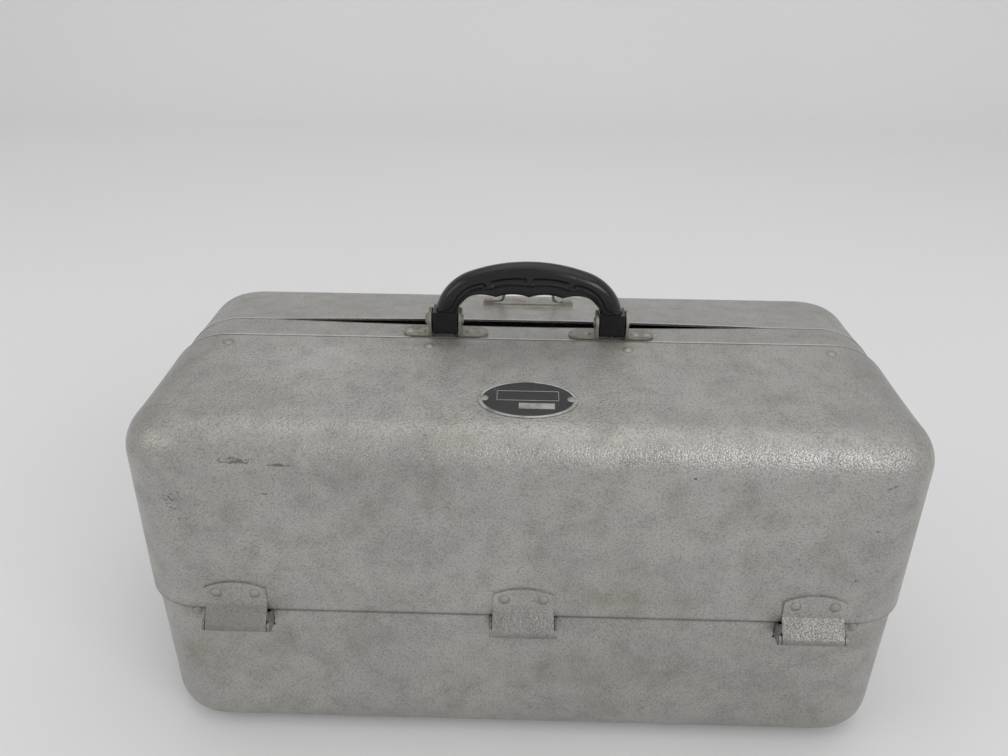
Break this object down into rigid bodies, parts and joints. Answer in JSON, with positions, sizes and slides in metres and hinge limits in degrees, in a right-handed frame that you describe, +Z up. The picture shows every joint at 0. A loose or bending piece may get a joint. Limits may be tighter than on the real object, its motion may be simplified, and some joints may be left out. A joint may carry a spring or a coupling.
{
  "type": "tackle box",
  "caption": "Metal tackle box with two lids that meet along the top, hinged on opposite long sides, cantilever trays, a folding carrying handle and a wire bail.",
  "frame": {"origin": "middle of the base, on the surface that the box stands on", "axes": "+X along the length, -Y towards the front with the nameplate, +Z up"},
  "size_m": [0.4588, 0.238, 0.2813],
  "materials": {
    "shell_aluminium": "pebble-embossed sheet, dull",
    "tray_aluminium": "plain mill sheet",
    "hinge_aluminium": "embossed sheet, as the shell",
    "rivet_aluminium": "plain",
    "bracket_steel": "dull plated",
    "arm_steel": "dull plated",
    "steel_wire": "drawn wire",
    "grip_plastic": "moulded, glossy",
    "plate_enamel": "black field with a bare metal border"
  },
  "bodies": {
    "tub": {"arm_bracket_rivets": "rivet_aluminium", "arm_brackets": "arm_steel", "arm_studs": "rivet_aluminium", "hinge_pins_front": "steel_wire", "hinge_pins_rear": "steel_wire", "tub_hinge_brackets_front": "hinge_aluminium", "tub_hinge_brackets_rear": "hinge_aluminium", "tub_shell": "shell_aluminium"},
    "front_lid": {"bracket_rivets": "rivet_aluminium", "front_hinge_leaves": "hinge_aluminium", "front_hinge_rivets": "rivet_aluminium", "front_lid_shell": "shell_aluminium", "handle_bracket_left_inner": "bracket_steel", "handle_bracket_left_outer": "bracket_steel", "handle_bracket_right_inner": "bracket_steel", "handle_bracket_right_outer": "bracket_steel", "handle_pin_left": "bracket_steel", "handle_pin_right": "bracket_steel", "lid_strip": "shell_aluminium", "link_posts_front": "rivet_aluminium", "nameplate": "plate_enamel", "nameplate_rivets": "rivet_aluminium", "strip_rivets": "rivet_aluminium"},
    "rear_lid": {"latch_plate": "bracket_steel", "latch_rivets": "rivet_aluminium", "link_posts_rear": "rivet_aluminium", "rear_hinge_leaves": "hinge_aluminium", "rear_hinge_rivets": "rivet_aluminium", "rear_lid_shell": "shell_aluminium"},
    "handle": {"handle_grip": "grip_plastic"},
    "bail": {"latch_bail": "steel_wire"},
    "front_inner_arms": {"inner_arms_front": "arm_steel"},
    "front_links": {"lid_links_front": "arm_steel"},
    "front_main_arms": {"drive_studs_front": "rivet_aluminium", "main_arms_front": "arm_steel"},
    "front_outer_arms": {"outer_arms_front": "arm_steel"},
    "front_tray_1": {"front_tray_1": "tray_aluminium", "front_tray_1_dividers": "tray_aluminium", "front_tray_1_pivots": "rivet_aluminium"},
    "front_tray_2": {"front_tray_2": "tray_aluminium", "front_tray_2_dividers": "tray_aluminium", "front_tray_2_pivots": "rivet_aluminium"},
    "front_tray_3": {"front_tray_3": "tray_aluminium", "front_tray_3_dividers": "tray_aluminium", "front_tray_3_pivots": "rivet_aluminium"},
    "rear_inner_arms": {"inner_arms_rear": "arm_steel"},
    "rear_links": {"lid_links_rear": "arm_steel"},
    "rear_main_arms": {"drive_studs_rear": "rivet_aluminium", "main_arms_rear": "arm_steel"},
    "rear_outer_arms": {"outer_arms_rear": "arm_steel"},
    "rear_tray_1": {"rear_tray_1": "tray_aluminium", "rear_tray_1_dividers": "tray_aluminium", "rear_tray_1_pivots": "rivet_aluminium"},
    "rear_tray_2": {"rear_tray_2": "tray_aluminium", "rear_tray_2_dividers": "tray_aluminium", "rear_tray_2_pivots": "rivet_aluminium"},
    "rear_tray_3": {"rear_tray_3": "tray_aluminium", "rear_tray_3_dividers": "tray_aluminium", "rear_tray_3_pivots": "rivet_aluminium"}
  },
  "joints": [
    {"name": "front_lid_hinge", "type": "hinge", "parent": "tub", "child": "front_lid", "pos_m": [0, -0.1155, 0.0965], "axis": [1, 0, 0], "range_deg": [0, 110]},
    {"name": "rear_lid_hinge", "type": "hinge", "parent": "tub", "child": "rear_lid", "pos_m": [0, 0.1155, 0.0965], "axis": [-1, 0, 0], "range_deg": [0, 110]},
    {"name": "handle_fold", "type": "hinge", "parent": "front_lid", "child": "handle", "pos_m": [0, 0.001, 0.243], "axis": [1, 0, 0], "range_deg": [0, 80]},
    {"name": "bail_swing", "type": "hinge", "parent": "rear_lid", "child": "bail", "pos_m": [0, 0.06886, 0.22845], "axis": [-1, 0, 0], "range_deg": [0, 130]},
    {"name": "front_main_swing", "type": "hinge", "parent": "tub", "child": "front_main_arms", "pos_m": [0, -0.088, 0.099], "axis": [1, 0, 0], "range_deg": [0, 77]},
    {"name": "front_inner_swing", "type": "hinge", "parent": "tub", "child": "front_inner_arms", "pos_m": [0, -0.062, 0.099], "axis": [1, 0, 0], "range_deg": [0, 77]},
    {"name": "front_tray_1_pivot", "type": "hinge", "parent": "front_main_arms", "child": "front_tray_1", "pos_m": [0, -0.06774, 0.1215], "axis": [-1, 0, 0], "range_deg": [0, 77]},
    {"name": "front_tray_2_pivot", "type": "hinge", "parent": "front_main_arms", "child": "front_tray_2", "pos_m": [0, -0.04253, 0.1495], "axis": [-1, 0, 0], "range_deg": [0, 77]},
    {"name": "front_tray_3_pivot", "type": "hinge", "parent": "front_main_arms", "child": "front_tray_3", "pos_m": [0, -0.01732, 0.1775], "axis": [-1, 0, 0], "range_deg": [0, 77]},
    {"name": "front_outer_swing", "type": "hinge", "parent": "front_tray_2", "child": "front_outer_arms", "pos_m": [0, -0.06753, 0.1495], "axis": [1, 0, 0], "range_deg": [0, 77]},
    {"name": "front_link_swing", "type": "hinge", "parent": "front_lid", "child": "front_links", "pos_m": [0, -0.08437, 0.13134], "axis": [-1, 0, 0], "range_deg": [0, 45.88]},
    {"name": "rear_main_swing", "type": "hinge", "parent": "tub", "child": "rear_main_arms", "pos_m": [0, 0.088, 0.099], "axis": [-1, 0, 0], "range_deg": [0, 77]},
    {"name": "rear_inner_swing", "type": "hinge", "parent": "tub", "child": "rear_inner_arms", "pos_m": [0, 0.062, 0.099], "axis": [-1, 0, 0], "range_deg": [0, 77]},
    {"name": "rear_tray_1_pivot", "type": "hinge", "parent": "rear_main_arms", "child": "rear_tray_1", "pos_m": [0, 0.06774, 0.1215], "axis": [1, 0, 0], "range_deg": [0, 77]},
    {"name": "rear_tray_2_pivot", "type": "hinge", "parent": "rear_main_arms", "child": "rear_tray_2", "pos_m": [0, 0.04253, 0.1495], "axis": [1, 0, 0], "range_deg": [0, 77]},
    {"name": "rear_tray_3_pivot", "type": "hinge", "parent": "rear_main_arms", "child": "rear_tray_3", "pos_m": [0, 0.01732, 0.1775], "axis": [1, 0, 0], "range_deg": [0, 77]},
    {"name": "rear_outer_swing", "type": "hinge", "parent": "rear_tray_2", "child": "rear_outer_arms", "pos_m": [0, 0.06753, 0.1495], "axis": [-1, 0, 0], "range_deg": [0, 77]},
    {"name": "rear_link_swing", "type": "hinge", "parent": "rear_lid", "child": "rear_links", "pos_m": [0, 0.08437, 0.13134], "axis": [1, 0, 0], "range_deg": [0, 45.88]}
  ],
  "couplings": [
    {"joint": "front_main_swing", "follows": "front_lid_hinge", "ratio": 0.7},
    {"joint": "front_inner_swing", "follows": "front_lid_hinge", "ratio": 0.7},
    {"joint": "front_tray_1_pivot", "follows": "front_lid_hinge", "ratio": 0.7},
    {"joint": "front_tray_2_pivot", "follows": "front_lid_hinge", "ratio": 0.7},
    {"joint": "front_tray_3_pivot", "follows": "front_lid_hinge", "ratio": 0.7},
    {"joint": "front_outer_swing", "follows": "front_lid_hinge", "ratio": 0.7},
    {"joint": "front_link_swing", "follows": "front_lid_hinge", "ratio": 0.417},
    {"joint": "rear_main_swing", "follows": "rear_lid_hinge", "ratio": 0.7},
    {"joint": "rear_inner_swing", "follows": "rear_lid_hinge", "ratio": 0.7},
    {"joint": "rear_tray_1_pivot", "follows": "rear_lid_hinge", "ratio": 0.7},
    {"joint": "rear_tray_2_pivot", "follows": "rear_lid_hinge", "ratio": 0.7},
    {"joint": "rear_tray_3_pivot", "follows": "rear_lid_hinge", "ratio": 0.7},
    {"joint": "rear_outer_swing", "follows": "rear_lid_hinge", "ratio": 0.7},
    {"joint": "rear_link_swing", "follows": "rear_lid_hinge", "ratio": 0.417}
  ]
}
